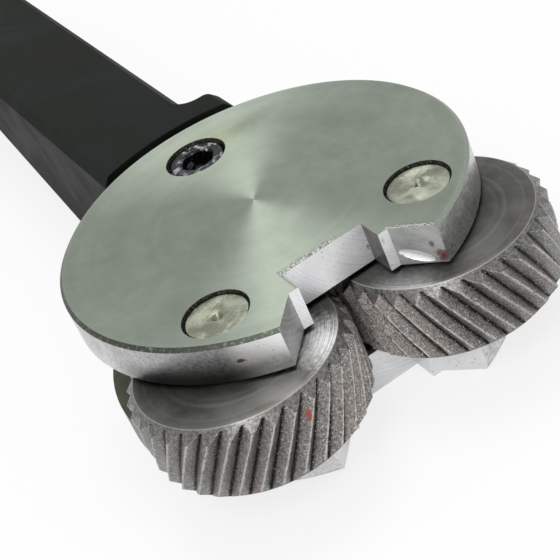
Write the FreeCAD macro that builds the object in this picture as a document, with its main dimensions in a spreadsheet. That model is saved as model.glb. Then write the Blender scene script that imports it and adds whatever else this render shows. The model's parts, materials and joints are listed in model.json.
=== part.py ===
"""Knurling tool: a square shank whose tongue carries a swivelling head with two knurling wheels.

Frame: millimetres, +Z along the wheel axes, +X from the shank towards the work.
The origin is on the axis of the round head, on the underside of its bottom plate.
"""
import FreeCAD, Part
import math
import os

import Sketcher

Vector = FreeCAD.Vector

# ---------------------------------------------------------------- driving dimensions (mm, degrees)
DIMENSIONS = {
    # head plates
    "head_radius": 19.0,
    "plate_thickness": 3.8,
    "rim_chamfer": 0.33,
    "notch_depth": 7.6,          # from the rim in to the back wall
    "notch_half_width": 3.95,
    "mouth_depth": 4.9,          # from the rim in to the shoulders where the mouth ends
    "mouth_half_width": 4.9,     # half the mouth's width at the shoulders
    "mouth_angle": 40.5,         # of each mouth wall to the centre line
    # knurling wheels
    "wheel_radius": 10.0,
    "wheel_width": 7.6,
    "wheel_side_clearance": 0.3,
    "wheel_gap": 0.4,            # between the crests of the two wheels
    "wheel_bevel": 1.0,
    "blank_allowance": 0.2,      # a toothed wheel is cut out of a blank this much larger in radius
    "tooth_count": 33,
    "tooth_depth": 0.78,
    "crest_width": 0.1,
    "helix_angle": 30.0,
    # axle pins
    "pin_radius": 3.0,
    "pin_rim_land": 1.145,       # least metal between a pin and the plate's rim
    "pin_running_clearance": 0.05,
    "pin_recess": 0.15,          # pin ends below the plate faces
    "pin_chamfer": 0.3,
    "pin_centre_radius": 0.5,    # centre-drilled dimple
    "pin_centre_depth": 0.5,
    # pivot screw
    "pivot_radius": 3.0,
    "pivot_rim_land": 3.16,      # metal between the screw and the plate's rim
    "pivot_running_clearance": 0.05,
    "pivot_recess": 0.25,
    "pivot_chamfer": 0.45,
    "socket_across_flats": 3.0,
    "socket_depth": 3.5,
    # body
    "overall_length": 120.0,
    "shank_width": 12.0,
    "shank_height": 10.0,
    "shank_offset": 2.0,         # shank centre line to the left of the head axis
    "block_length": 15.0,        # from the seat's deepest point to where the underside rises
    "neck_angle": 12.5,
    "seat_gap": 1.0,             # between the plates' rims and the concave seat
    "ear_reach": 7.3,            # outer side of the ear, from the head axis
    "ear_thickness": 3.6,        # behind the seat's deepest point
    "ear_round": 1.5,
    "ear_fillet": 1.6,
    "tongue_radius": 7.0,
    "tongue_clearance": 0.1,     # to each plate
    "edge_break": 0.8,
    "shank_end_chamfer": 1.0,
}


def cell(alias):
    """The expression that reads one driving dimension."""
    return f"<<Sizes>>.{alias}"


# sizes that several pieces share, as expressions of the driving dimensions
PLATE_GAP = f"({cell('wheel_width')} + 2 * {cell('wheel_side_clearance')})"
HEAD_HEIGHT = f"(2 * {cell('plate_thickness')} + {PLATE_GAP})"
WHEEL_SIDEWAYS = f"({cell('wheel_radius')} + {cell('wheel_gap')} / 2)"
PIN_CIRCLE = f"({cell('head_radius')} - {cell('pin_radius')} - {cell('pin_rim_land')})"
WHEEL_FORWARD = f"(sqrt({PIN_CIRCLE} * {PIN_CIRCLE} - {WHEEL_SIDEWAYS} * {WHEEL_SIDEWAYS}))"
PIVOT_PLACE = f"({cell('pivot_radius')} + {cell('pivot_rim_land')} - {cell('head_radius')})"
SEAT_RADIUS = f"({cell('head_radius')} + {cell('seat_gap')})"
EAR_BACK = f"(-{SEAT_RADIUS} - {cell('ear_thickness')})"
BLOCK_BACK = f"(-{SEAT_RADIUS} - {cell('block_length')})"
SHANK_RIGHT = f"({cell('shank_width')} / 2 - {cell('shank_offset')})"
SHANK_LEFT = f"(-{cell('shank_width')} / 2 - {cell('shank_offset')})"
SHANK_BACK = f"({WHEEL_FORWARD} + {cell('wheel_radius')} - {cell('overall_length')})"

doc = FreeCAD.newDocument("KnurlingTool")
sheet = doc.addObject("Spreadsheet::Sheet", "Sizes")
for row, (alias, value) in enumerate(DIMENSIONS.items(), start=1):
    sheet.set(f"A{row}", alias)
    sheet.set(f"B{row}", str(value))
    sheet.setAlias(f"B{row}", alias)
doc.recompute()


# ---------------------------------------------------------------- helpers
def size(expression):
    """The present value of an expression of the driving dimensions."""
    return float(sheet.evalExpression(expression))


def origin_feature(body, role):
    """One of a body's own base planes or axes."""
    return next(item for item in body.Origin.OriginFeatures if item.Role == role)


def new_body(name, **placement):
    """A named body; placement gives expressions for its X, Y or Z."""
    body = doc.addObject("PartDesign::Body", name)
    body.Label = name
    place(body, **placement)
    return body


def place(item, **placement):
    """Put an object at X, Y, Z given as expressions."""
    for axis, expression in placement.items():
        item.setExpression(f"Placement.Base.{axis}", expression)


def new_sketch(body, name, plane="XY_Plane"):
    sketch = body.newObject("Sketcher::SketchObject", name)
    sketch.AttachmentSupport = (origin_feature(body, plane), [""])
    sketch.MapMode = "FlatFace"
    return sketch


def bind(sketch, kind, *references, expression):
    """Add a dimension to a sketch and bind it to an expression."""
    index = sketch.addConstraint(Sketcher.Constraint(kind, *references, size(expression)))
    sketch.setExpression(f"Constraints[{index}]", expression)


def circle(sketch, radius, across="0", along="0"):
    """A circle whose radius and centre are expressions."""
    centre = Vector(size(across), size(along), 0)
    index = sketch.addGeometry(Part.Circle(centre, Vector(0, 0, 1), size(radius)), False)
    bind(sketch, "Radius", index, expression=radius)
    bind(sketch, "DistanceX", -1, 1, index, 3, expression=across)
    bind(sketch, "DistanceY", -1, 1, index, 3, expression=along)


def outline(sketch, corners):
    """A closed outline of straight sides; each corner is a pair of expressions."""
    points = [Vector(size(across), size(along), 0) for across, along in corners]
    count = len(points)
    first = sketch.GeometryCount
    for index in range(count):
        sketch.addGeometry(Part.LineSegment(points[index], points[(index + 1) % count]), False)
    for index in range(count):
        following = (index + 1) % count
        sketch.addConstraint(
            Sketcher.Constraint("Coincident", first + index, 2, first + following, 1))
    for index, (across, along) in enumerate(corners):
        bind(sketch, "DistanceX", -1, 1, first + index, 1, expression=across)
        bind(sketch, "DistanceY", -1, 1, first + index, 1, expression=along)


def pad(body, sketch, length):
    feature = body.newObject("PartDesign::Pad", sketch.Label + "_pad")
    feature.Profile = sketch
    feature.setExpression("Length", length)
    return settle(feature)


def pocket_through(body, sketch):
    """Cut a sketch right through the body, to both sides of its plane."""
    feature = body.newObject("PartDesign::Pocket", sketch.Label + "_pocket")
    feature.Profile = sketch
    feature.SideType = "Symmetric"
    feature.Type = "ThroughAll"
    return settle_cut(feature)


def settle(feature):
    doc.recompute()
    if "Invalid" in feature.State or feature.Shape.isNull():
        raise RuntimeError(f"{feature.Label} failed")
    return feature


def settle_cut(feature):
    """Recompute a cut and make sure that it took something away."""
    settle(feature)
    if not feature.Shape.Volume < feature.BaseFeature.Shape.Volume - 1e-6:
        raise RuntimeError(f"{feature.Label} cuts nothing")
    return feature


def revolve(body, sketch):
    feature = body.newObject("PartDesign::Revolution", sketch.Label + "_turned")
    feature.Profile = sketch
    feature.ReferenceAxis = (origin_feature(body, "Z_Axis"), [""])
    feature.Angle = 360
    return settle(feature)


def edge_names(shape, wanted):
    """Names of the edges of a shape that a test accepts."""
    return [f"Edge{number}" for number, edge in enumerate(shape.Edges, start=1) if wanted(edge)]


def spans(edge, axis):
    """True for a straight edge that runs along one axis."""
    if not isinstance(edge.Curve, Part.Line):
        return False
    return abs(abs(getattr(edge.Curve.Direction, axis)) - 1) < 1e-6


def at(edge, **coordinates):
    """True if the middle of an edge has the given coordinates."""
    middle = edge.CenterOfMass
    return all(abs(getattr(middle, axis) - value) < 1e-3 for axis, value in coordinates.items())


def dress(body, kind, size_property, expression, wanted):
    """Fillet or chamfer the edges of the body's tip that a test accepts."""
    base = body.Tip
    names = edge_names(base.Shape, wanted)
    if not names:
        raise RuntimeError(f"no edge to {kind} in {body.Label}")
    feature = body.newObject(f"PartDesign::{kind}", f"{body.Label}_{kind}")
    feature.Base = (base, names)
    feature.setExpression(size_property, expression)
    return settle(feature)


# ---------------------------------------------------------------- head plates
def head_plate(name, lift, outer_face):
    """Round plate with a notch for the work and holes for two pins and the pivot.

    lift is the height of its underside; outer_face is the height, above that, of the face whose
    rim is chamfered.
    """
    plate = new_body(name, z=lift)
    disc = new_sketch(plate, f"{name}_disc")
    circle(disc, cell("head_radius"))
    for side in ("-", ""):
        circle(disc, cell("pin_radius"), WHEEL_FORWARD, f"{side}{WHEEL_SIDEWAYS}")
    circle(disc, cell("pivot_radius"), PIVOT_PLACE)
    pad(plate, disc, cell("plate_thickness"))

    rim = size(cell("head_radius"))
    dress(plate, "Chamfer", "Size", cell("rim_chamfer"),
          lambda edge: isinstance(edge.Curve, Part.Circle)
          and abs(edge.Curve.Radius - rim) < 1e-6 and at(edge, z=size(outer_face)))

    notch = new_sketch(plate, f"{name}_notch")
    back = f"({cell('head_radius')} - {cell('notch_depth')})"
    shoulder = f"({cell('head_radius')} - {cell('mouth_depth')})"
    beyond = f"({cell('head_radius')} + {cell('rim_chamfer')})"
    mouth = (f"({cell('mouth_half_width')} + ({beyond} - {shoulder})"
             f" * tan({cell('mouth_angle')} * 1 deg))")
    right_side = [
        (back, cell("notch_half_width")),
        (shoulder, cell("notch_half_width")),
        (shoulder, cell("mouth_half_width")),
        (beyond, mouth),
    ]
    left_side = [(across, f"-{along}") for across, along in reversed(right_side)]
    outline(notch, right_side + left_side)
    pocket_through(plate, notch)
    return plate


# ---------------------------------------------------------------- turned pins and screw
def axle_pin(name, sideways):
    """Plain pin, chamfered and centre-drilled at both ends, pressed into both plates."""
    pin = new_body(name, x=WHEEL_FORWARD, y=sideways, z=cell("pin_recess"))
    length = f"({HEAD_HEIGHT} - 2 * {cell('pin_recess')})"
    edge = f"({cell('pin_radius')} - {cell('pin_chamfer')})"
    profile = new_sketch(pin, f"{name}_profile", "XZ_Plane")
    outline(profile, [
        ("0", cell("pin_centre_depth")),
        (cell("pin_centre_radius"), "0"),
        (edge, "0"),
        (cell("pin_radius"), cell("pin_chamfer")),
        (cell("pin_radius"), f"{length} - {cell('pin_chamfer')}"),
        (edge, length),
        (cell("pin_centre_radius"), length),
        ("0", f"{length} - {cell('pin_centre_depth')}"),
    ])
    revolve(pin, profile)
    return pin


def pivot_screw():
    """Headless screw with a hexagon socket; the head swivels on it."""
    screw = new_body("pivot_screw", x=PIVOT_PLACE, z=cell("pivot_recess"))
    length = f"({HEAD_HEIGHT} - 2 * {cell('pivot_recess')})"
    edge = f"({cell('pivot_radius')} - {cell('pivot_chamfer')})"
    profile = new_sketch(screw, "screw_profile", "XZ_Plane")
    outline(profile, [
        ("0", "0"),
        (edge, "0"),
        (cell("pivot_radius"), cell("pivot_chamfer")),
        (cell("pivot_radius"), f"{length} - {cell('pivot_chamfer')}"),
        (edge, length),
        ("0", length),
    ])
    revolve(screw, profile)

    socket = new_sketch(screw, "screw_socket")
    socket.setExpression("AttachmentOffset.Base.z", length)
    corner = f"({cell('socket_across_flats')} / 2 / cos(30 deg))"
    outline(socket, [
        (f"{corner} * cos({60 * turn} deg)", f"{corner} * sin({60 * turn} deg)")
        for turn in range(6)
    ])
    feature = screw.newObject("PartDesign::Pocket", "screw_socket_pocket")
    feature.Profile = socket
    feature.setExpression("Length", cell("socket_depth"))
    settle_cut(feature)
    return screw


# ---------------------------------------------------------------- knurling wheels
def twisted_teeth(name, hand):
    """Prism with V teeth all round that turns with height; hand is +1 right-hand, -1 left-hand."""
    crest = size(cell("wheel_radius"))
    root = crest - size(cell("tooth_depth"))
    width = size(cell("wheel_width"))
    count = int(size(cell("tooth_count")))
    lead = 2 * math.pi * crest / math.tan(math.radians(size(cell("helix_angle"))))
    half_crest = size(cell("crest_width")) / 2 / crest

    def polar(radius, angle):
        return Vector(radius * math.cos(angle), radius * math.sin(angle), 0)

    section = []
    for tooth in range(count):
        middle = 2 * math.pi * tooth / count
        section.append(polar(crest, middle - half_crest))
        section.append(polar(crest, middle + half_crest))
        section.append(polar(root, middle + math.pi / count))
    section.append(section[0])

    axis = Part.Wire([Part.makeLine(Vector(0, 0, 0), Vector(0, 0, width))])
    helix = Part.Wire(Part.makeHelix(lead, width, crest, 0, hand < 0).Edges)
    sweep = Part.BRepOffsetAPI.MakePipeShell(axis)
    sweep.setAuxiliarySpine(helix, True, 0)
    sweep.add(Part.makePolygon(section), False, False)
    sweep.build()
    sweep.makeSolid()
    teeth = doc.addObject("Part::Feature", f"{name}_teeth")
    teeth.Shape = sweep.shape()
    return teeth


def knurling_wheel(name, sideways, hand):
    """Toothed ring with bevelled ends and a running bore."""
    teeth = twisted_teeth(name, hand)

    blank = doc.addObject("Part::Cylinder", f"{name}_blank")
    blank.setExpression("Radius", f"{cell('wheel_radius')} + {cell('blank_allowance')}")
    blank.setExpression("Height", cell("wheel_width"))
    doc.recompute()

    bevelled = doc.addObject("Part::Chamfer", f"{name}_bevelled")
    bevelled.Base = blank
    bevel = size(cell("wheel_bevel")) + size(cell("blank_allowance"))
    bevelled.Edges = [
        (number, bevel, bevel) for number, edge in enumerate(blank.Shape.Edges, start=1)
        if isinstance(edge.Curve, Part.Circle)
    ]
    toothed = doc.addObject("Part::Common", f"{name}_toothed")
    toothed.Base = teeth
    toothed.Tool = bevelled

    bore = doc.addObject("Part::Cylinder", f"{name}_bore")
    bore.setExpression("Radius", f"{cell('pin_radius')} + {cell('pin_running_clearance')}")
    bore.setExpression("Height", cell("wheel_width"))
    wheel = doc.addObject("Part::Cut", name)
    wheel.Label = name
    wheel.Base = toothed
    wheel.Tool = bore
    place(wheel, x=WHEEL_FORWARD, y=sideways,
          z=f"{cell('plate_thickness')} + {cell('wheel_side_clearance')}")
    return settle(wheel)


# ---------------------------------------------------------------- body
def tool_body():
    """Shank, head block with seat and ear, and the tongue that enters the head."""
    body = new_body("tool_body")
    plan = new_sketch(body, "block_and_shank_plan")
    outline(plan, [
        (SHANK_BACK, SHANK_LEFT),
        (PIVOT_PLACE, SHANK_LEFT),
        (PIVOT_PLACE, cell("ear_reach")),
        (EAR_BACK, cell("ear_reach")),
        (EAR_BACK, SHANK_RIGHT),
        (SHANK_BACK, SHANK_RIGHT),
    ])
    pad(body, plan, HEAD_HEIGHT)

    underside = new_sketch(body, "underside_relief", "XZ_Plane")
    rise = f"({HEAD_HEIGHT} - {cell('shank_height')})"
    below = f"-{cell('shank_height')}"
    slope_end = f"({BLOCK_BACK} - {rise} / tan({cell('neck_angle')} * 1 deg))"
    outline(underside, [
        (BLOCK_BACK, "0"),
        (slope_end, rise),
        (f"({SHANK_BACK} - {cell('edge_break')})", rise),
        (f"({SHANK_BACK} - {cell('edge_break')})", below),
        (BLOCK_BACK, below),
    ])
    pocket_through(body, underside)

    seat = new_sketch(body, "seat")
    circle(seat, SEAT_RADIUS)
    pocket_through(body, seat)

    back, right = size(EAR_BACK), size(SHANK_RIGHT)
    left, reach = size(SHANK_LEFT), size(cell("ear_reach"))
    top, step = size(HEAD_HEIGHT), size(rise)
    dress(body, "Fillet", "Radius", cell("ear_fillet"),
          lambda edge: spans(edge, "z") and at(edge, x=back, y=right))
    dress(body, "Fillet", "Radius", cell("ear_round"),
          lambda edge: spans(edge, "z") and at(edge, x=back, y=reach))
    end = size(SHANK_BACK)
    dress(body, "Chamfer", "Size", cell("shank_end_chamfer"),
          lambda edge: at(edge, x=end))
    dress(body, "Chamfer", "Size", cell("edge_break"),
          lambda edge: spans(edge, "x") and edge.CenterOfMass.x < back
          and (at(edge, z=top, y=right) or at(edge, z=top, y=left)
               or at(edge, z=step, y=right) or at(edge, z=step, y=left)))

    reach_in = f"(-{SEAT_RADIUS} - {cell('seat_gap')})"
    straight = new_sketch(body, "tongue_straight")
    outline(straight, [
        (PIVOT_PLACE, f"-{cell('tongue_radius')}"),
        (PIVOT_PLACE, cell("tongue_radius")),
        (reach_in, cell("tongue_radius")),
        (reach_in, f"-{cell('tongue_radius')}"),
    ])
    nose = new_sketch(body, "tongue_nose")
    circle(nose, cell("tongue_radius"), PIVOT_PLACE)
    for sketch in (straight, nose):
        sketch.setExpression("AttachmentOffset.Base.z",
                             f"{cell('plate_thickness')} + {cell('tongue_clearance')}")
        pad(body, sketch, f"{PLATE_GAP} - 2 * {cell('tongue_clearance')}")

    bore = new_sketch(body, "pivot_bore")
    circle(bore, f"({cell('pivot_radius')} + {cell('pivot_running_clearance')})",
           PIVOT_PLACE)
    pocket_through(body, bore)
    return body


# ---------------------------------------------------------------- the whole tool
TOP_PLATE_LIFT = f"{cell('plate_thickness')} + {PLATE_GAP}"
pieces = [
    tool_body(),
    head_plate("bottom_plate", "0", "0"),
    head_plate("top_plate", TOP_PLATE_LIFT, cell("plate_thickness")),
    pivot_screw(),
    axle_pin("left_axle_pin", f"-{WHEEL_SIDEWAYS}"),
    axle_pin("right_axle_pin", WHEEL_SIDEWAYS),
    knurling_wheel("left_wheel", f"-{WHEEL_SIDEWAYS}", hand=1),
    knurling_wheel("right_wheel", WHEEL_SIDEWAYS, hand=-1),
]
doc.recompute()

for item in doc.Objects:
    if "Invalid" in item.State or "Error" in item.State:
        raise RuntimeError(f"{item.Label} failed to recompute")
for piece in pieces:
    if piece.Shape.isNull() or not piece.Shape.isValid() or len(piece.Shape.Solids) != 1:
        raise RuntimeError(f"{piece.Label} is not one valid solid")

os.makedirs("parts", exist_ok=True)
for piece in pieces:
    piece.Shape.exportStep(f"parts/{piece.Label}.step")
    print(f"{piece.Label}: {piece.Shape.Volume:.1f} mm3, {len(piece.Shape.Faces)} faces")
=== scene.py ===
"""Knurling tool: finishes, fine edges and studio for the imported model. Metres, +Z up."""

import json
import math

import bmesh
import bpy
from mathutils import Matrix, Vector


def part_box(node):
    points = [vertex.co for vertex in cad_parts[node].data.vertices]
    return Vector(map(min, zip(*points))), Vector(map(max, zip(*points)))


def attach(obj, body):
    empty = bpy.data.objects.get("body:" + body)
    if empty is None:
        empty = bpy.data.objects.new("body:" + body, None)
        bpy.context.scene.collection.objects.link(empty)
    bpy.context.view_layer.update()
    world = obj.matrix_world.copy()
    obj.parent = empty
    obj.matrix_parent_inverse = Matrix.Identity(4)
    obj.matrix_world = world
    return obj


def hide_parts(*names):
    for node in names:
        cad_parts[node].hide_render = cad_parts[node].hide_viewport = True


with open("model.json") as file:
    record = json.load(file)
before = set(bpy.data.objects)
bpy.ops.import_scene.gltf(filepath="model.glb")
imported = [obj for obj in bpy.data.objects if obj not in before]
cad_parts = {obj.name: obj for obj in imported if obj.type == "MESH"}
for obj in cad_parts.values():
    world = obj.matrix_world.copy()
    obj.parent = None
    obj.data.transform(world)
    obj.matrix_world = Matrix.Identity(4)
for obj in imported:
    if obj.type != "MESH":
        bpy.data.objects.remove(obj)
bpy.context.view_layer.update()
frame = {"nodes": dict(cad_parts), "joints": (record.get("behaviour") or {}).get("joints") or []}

MM = 0.001

# ---------------------------------------------------------------- sizes read from the frame
JOINT_PLACE = {joint["child"]: Vector(joint["pos_m"]) for joint in frame["joints"]}
HEAD_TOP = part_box("top_plate")[1].z
HEAD_RADIUS = -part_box("top_plate")[0].x
WHEEL_LOW, WHEEL_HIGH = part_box("left_wheel")
WHEEL_WIDTH = WHEEL_HIGH.z - WHEEL_LOW.z
WHEEL_RADIUS = JOINT_PLACE["left_wheel"].y - WHEEL_LOW.y
PIN_LOW, PIN_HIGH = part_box("left_axle_pin")
PIN_RADIUS = (PIN_HIGH.x - PIN_LOW.x) / 2
SCREW_LOW, SCREW_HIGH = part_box("pivot_screw")
SCREW_RADIUS = (SCREW_HIGH.x - SCREW_LOW.x) / 2

# ---------------------------------------------------------------- other sizes, as in the solids
TOOTH_COUNT = 33
TOOTH_DEPTH = 0.78 * MM
HELIX = math.radians(30)
WHEEL_FACE_RADIUS = 9.0 * MM
WHEEL_BORE = PIN_RADIUS + 0.05 * MM
PIN_CHAMFER = 0.3 * MM
DIMPLE_RADIUS = DIMPLE_DEPTH = 0.5 * MM
SCREW_CHAMFER = 0.45 * MM
SOCKET_HALF_FLATS = 1.5 * MM
SOCKET_DEPTH = 3.5 * MM
PLATE_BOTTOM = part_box("top_plate")[0].z
BORE_CENTRES = [sum(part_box(node), Vector()).xy / 2
                for node in ("left_axle_pin", "right_axle_pin", "pivot_screw")]
NOTCH_BACK = 11.4 * MM
NOTCH_HALF_WIDTH = 3.95 * MM
SHOULDER = 14.1 * MM
MOUTH_HALF_WIDTH = 4.9 * MM
MOUTH_ANGLE = math.radians(40.5)
MOUTH_START = (SHOULDER, MOUTH_HALF_WIDTH, PLATE_BOTTOM)
MOUTH_ALONG = (math.cos(MOUTH_ANGLE), math.sin(MOUTH_ANGLE), 0)
MOUTH_FACING = (math.sin(MOUTH_ANGLE), -math.cos(MOUTH_ANGLE), 0)

# ---------------------------------------------------------------- sizes of the finish
STEPS_PER_TOOTH = 16
TOOTH_WEAR = 0.09 * MM           # deepest chip in a tooth crest
PIN_END_DROP = 0.12 * MM         # visible pin ends, below the solid's end
PLATE_EDGE = 0.06 * MM           # rounding of the plates' edges
BODY_EDGE = 0.3 * MM
MERGE_DISTANCE = 0.001 * MM
QUARTER_TURN = 0.25              # turns the stretched shine across the rings
FLOOR_HALF_SIZE = 1.5
FLOOR_DROP = 0.02 * MM           # keeps the floor off the plate that lies on it


# ---------------------------------------------------------------- node building
def put(tree, kind, inputs=None, **settings):
    """Add a node; inputs maps socket names or numbers to values or to sockets that feed them."""
    node = tree.nodes.new(kind)
    for name, value in settings.items():
        setattr(node, name, value)
    for name, value in (inputs or {}).items():
        if isinstance(value, bpy.types.NodeSocket):
            tree.links.new(value, node.inputs[name])
        else:
            node.inputs[name].default_value = value
    return node


def calc(tree, operation, *values):
    """A math node's result."""
    return put(tree, "ShaderNodeMath", dict(enumerate(values)), operation=operation).outputs[0]


def vector_calc(tree, operation, *values):
    """A vector math node's result: a number for lengths, distances and dot products."""
    node = put(tree, "ShaderNodeVectorMath", dict(enumerate(values)), operation=operation)
    is_number = operation in ("LENGTH", "DISTANCE", "DOT_PRODUCT")
    return node.outputs["Value" if is_number else "Vector"]


def ramp(tree, value, low, high, to_low=0.0, to_high=1.0, smooth=True):
    """Value mapped from low..high to to_low..to_high and held beyond."""
    node = put(tree, "ShaderNodeMapRange", {"Value": value, "From Min": low, "From Max": high,
                                            "To Min": to_low, "To Max": to_high})
    node.interpolation_type = "SMOOTHSTEP" if smooth else "LINEAR"
    return node.outputs["Result"]


def blend(tree, mask, first, second):
    """Two colours mixed by a mask."""
    node = tree.nodes.new("ShaderNodeMix")
    node.data_type = "RGBA"
    share, low, high = node.inputs[0], node.inputs[6], node.inputs[7]
    for socket, value in ((share, mask), (low, first), (high, second)):
        if isinstance(value, bpy.types.NodeSocket):
            tree.links.new(value, socket)
        else:
            socket.default_value = value if socket.type == "VALUE" else (*value[:3], 1)
    return node.outputs[2]


def noise(tree, vector, size, detail=4.0, roughness=0.55):
    """Noise whose features are about size across, 0 to 1."""
    node = put(tree, "ShaderNodeTexNoise", {"Vector": vector, "Scale": 1 / size, "Detail": detail,
                                            "Roughness": roughness})
    return node.outputs["Fac"]


def group(name, inputs, outputs):
    """A shader node group with named inputs (kind, default) and outputs; returns tree, in, out."""
    tree = bpy.data.node_groups.new(name, "ShaderNodeTree")
    for label, (kind, default) in inputs.items():
        socket = tree.interface.new_socket(label, in_out="INPUT", socket_type=f"NodeSocket{kind}")
        if default is not None:
            socket.default_value = default
    for label in outputs:
        tree.interface.new_socket(label, in_out="OUTPUT", socket_type="NodeSocketFloat")
    return tree, tree.nodes.new("NodeGroupInput"), tree.nodes.new("NodeGroupOutput")


def use(tree, shared, output, **inputs):
    """Place a shared effect in a material and return one of its outputs."""
    return put(tree, "ShaderNodeGroup", inputs, node_tree=shared).outputs[output]


# ---------------------------------------------------------------- shared effects
def make_turning_marks():
    """Fine rings about the Z axis through Centre, as a lathe tool leaves them."""
    tree, given, result = group("turning_marks", {
        "Vector": ("Vector", None), "Centre": ("Vector", (0, 0, 0)), "Pitch": ("Float", 0.0002),
    }, ["Height", "Tone"])
    offset = vector_calc(tree, "SUBTRACT", given.outputs["Vector"], given.outputs["Centre"])
    flat = vector_calc(tree, "MULTIPLY", offset, (1, 1, 0))
    radius = vector_calc(tree, "LENGTH", flat)
    turns = calc(tree, "DIVIDE", radius, given.outputs["Pitch"])
    wander = calc(tree, "MULTIPLY", noise(tree, offset, 6 * MM), 1.2)
    fine = put(tree, "ShaderNodeTexNoise", {"W": calc(tree, "ADD", turns, wander), "Scale": 1.0,
                                            "Detail": 3.0, "Roughness": 0.7}, noise_dimensions="1D")
    broad = put(tree, "ShaderNodeTexNoise", {"W": calc(tree, "MULTIPLY", turns, 0.12), "Scale": 1.0,
                                             "Detail": 2.0}, noise_dimensions="1D")
    tree.links.new(fine.outputs["Fac"], result.inputs["Height"])
    tree.links.new(broad.outputs["Fac"], result.inputs["Tone"])
    return tree


def make_milling_marks():
    """Arcs about Centre, as a milling cutter leaves them when it passes."""
    tree, given, result = group("milling_marks", {
        "Vector": ("Vector", None), "Centre": ("Vector", (0, 0, 0)), "Pitch": ("Float", 0.0004),
    }, ["Height"])
    reach = vector_calc(tree, "DISTANCE", given.outputs["Vector"], given.outputs["Centre"])
    passes = calc(tree, "DIVIDE", reach, given.outputs["Pitch"])
    rough = noise(tree, given.outputs["Vector"], 1.2 * MM)
    uneven = calc(tree, "ADD", passes, calc(tree, "MULTIPLY", rough, 0.8))
    lines = put(tree, "ShaderNodeTexNoise", {"W": uneven, "Scale": 1.0, "Detail": 3.0,
                                             "Roughness": 0.75}, noise_dimensions="1D")
    tree.links.new(lines.outputs["Fac"], result.inputs["Height"])
    return tree


def make_patches():
    """Soft uneven patches of about Size, from 0 to 1."""
    tree, given, result = group("patches", {
        "Vector": ("Vector", None), "Size": ("Float", 0.01), "Edge": ("Float", 0.12),
        "Level": ("Float", 0.5),
    }, ["Mask"])
    cloud = put(tree, "ShaderNodeTexNoise", {
        "Vector": given.outputs["Vector"], "Scale": calc(tree, "DIVIDE", 1.0, given.outputs["Size"]),
        "Detail": 5.0, "Roughness": 0.6, "Distortion": 0.4})
    level, edge = given.outputs["Level"], given.outputs["Edge"]
    mask = ramp(tree, cloud.outputs["Fac"], calc(tree, "SUBTRACT", level, edge),
                calc(tree, "ADD", level, edge))
    tree.links.new(mask, result.inputs["Mask"])
    return tree


def make_speck():
    """One ragged spot about Centre."""
    tree, given, result = group("speck", {
        "Vector": ("Vector", None), "Centre": ("Vector", (0, 0, 0)), "Radius": ("Float", 0.0005),
        "Stretch": ("Vector", (1, 1, 1)), "Softness": ("Float", 0.0),
    }, ["Mask"])
    offset = vector_calc(tree, "SUBTRACT", given.outputs["Vector"], given.outputs["Centre"])
    offset = vector_calc(tree, "DIVIDE", offset, given.outputs["Stretch"])
    reach = calc(tree, "DIVIDE", vector_calc(tree, "LENGTH", offset), given.outputs["Radius"])
    ragged = calc(tree, "MULTIPLY", noise(tree, given.outputs["Vector"], 0.4 * MM), 1.4)
    soft = given.outputs["Softness"]
    mask = ramp(tree, calc(tree, "ADD", reach, ragged), calc(tree, "SUBTRACT", 1.3, soft),
                calc(tree, "ADD", 1.7, soft), 1.0, 0.0)
    tree.links.new(mask, result.inputs["Mask"])
    return tree


TURNING_MARKS = make_turning_marks()
MILLING_MARKS = make_milling_marks()
PATCHES = make_patches()
SPECK = make_speck()


# ---------------------------------------------------------------- materials
def finish(name, metallic=1.0, anisotropic=0.0, specular=0.5):
    """A material with its Principled shader; returns material, tree, object coordinates, shader."""
    material = bpy.data.materials.new(name)
    material.use_nodes = True
    tree = material.node_tree
    shader = tree.nodes["Principled BSDF"]
    shader.inputs["Metallic"].default_value = metallic
    shader.inputs["Anisotropic"].default_value = anisotropic
    shader.inputs["Anisotropic Rotation"].default_value = QUARTER_TURN
    shader.inputs["Specular IOR Level"].default_value = specular
    place = tree.nodes.new("ShaderNodeTexCoord").outputs["Object"]
    return material, tree, place, shader


def bump(tree, shader, *heights):
    """Stack bumps of (height socket, depth in metres, strength) on a shader's normal."""
    normal = None
    for height, depth, strength in heights:
        node = put(tree, "ShaderNodeBump", {"Height": height, "Distance": depth, "Strength": strength})
        if normal is not None:
            tree.links.new(normal, node.inputs["Normal"])
        normal = node.outputs["Normal"]
    tree.links.new(normal, shader.inputs["Normal"])


def feed(tree, shader, colour, roughness):
    """Link a colour and a roughness to a shader."""
    tree.links.new(colour, shader.inputs["Base Color"])
    tree.links.new(roughness, shader.inputs["Roughness"])


RED_MARK = (0.13, 0.012, 0.01)
OLIVE_STAIN = (0.20, 0.21, 0.06)


def speckle(tree, place, size, level, edge=0.05):
    """Irregular fine specks: the higher the level, the fewer."""
    return use(tree, PATCHES, "Mask", Vector=place, Size=size, Level=level, Edge=edge)


def spot(tree, place, centre, radius, stretch=(1, 1, 1), softness=0.0):
    """Mask of one ragged spot on the surface."""
    return use(tree, SPECK, "Mask", Vector=place, Centre=centre, Radius=radius, Stretch=stretch,
               Softness=softness)


def axis_value(tree, place, axis):
    """One coordinate of the surface."""
    return put(tree, "ShaderNodeSeparateXYZ", {"Vector": place}).outputs[axis]


def beyond(tree, place, start, direction):
    """How far the surface lies from start along a direction."""
    return vector_calc(tree, "DOT_PRODUCT", vector_calc(tree, "SUBTRACT", place, start), direction)


def ring_tangent(tree, shader):
    """Stretch the shine across rings round the vertical axis."""
    around = put(tree, "ShaderNodeTangent", direction_type="RADIAL", axis="Z")
    tree.links.new(around.outputs["Tangent"], shader.inputs["Tangent"])


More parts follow.
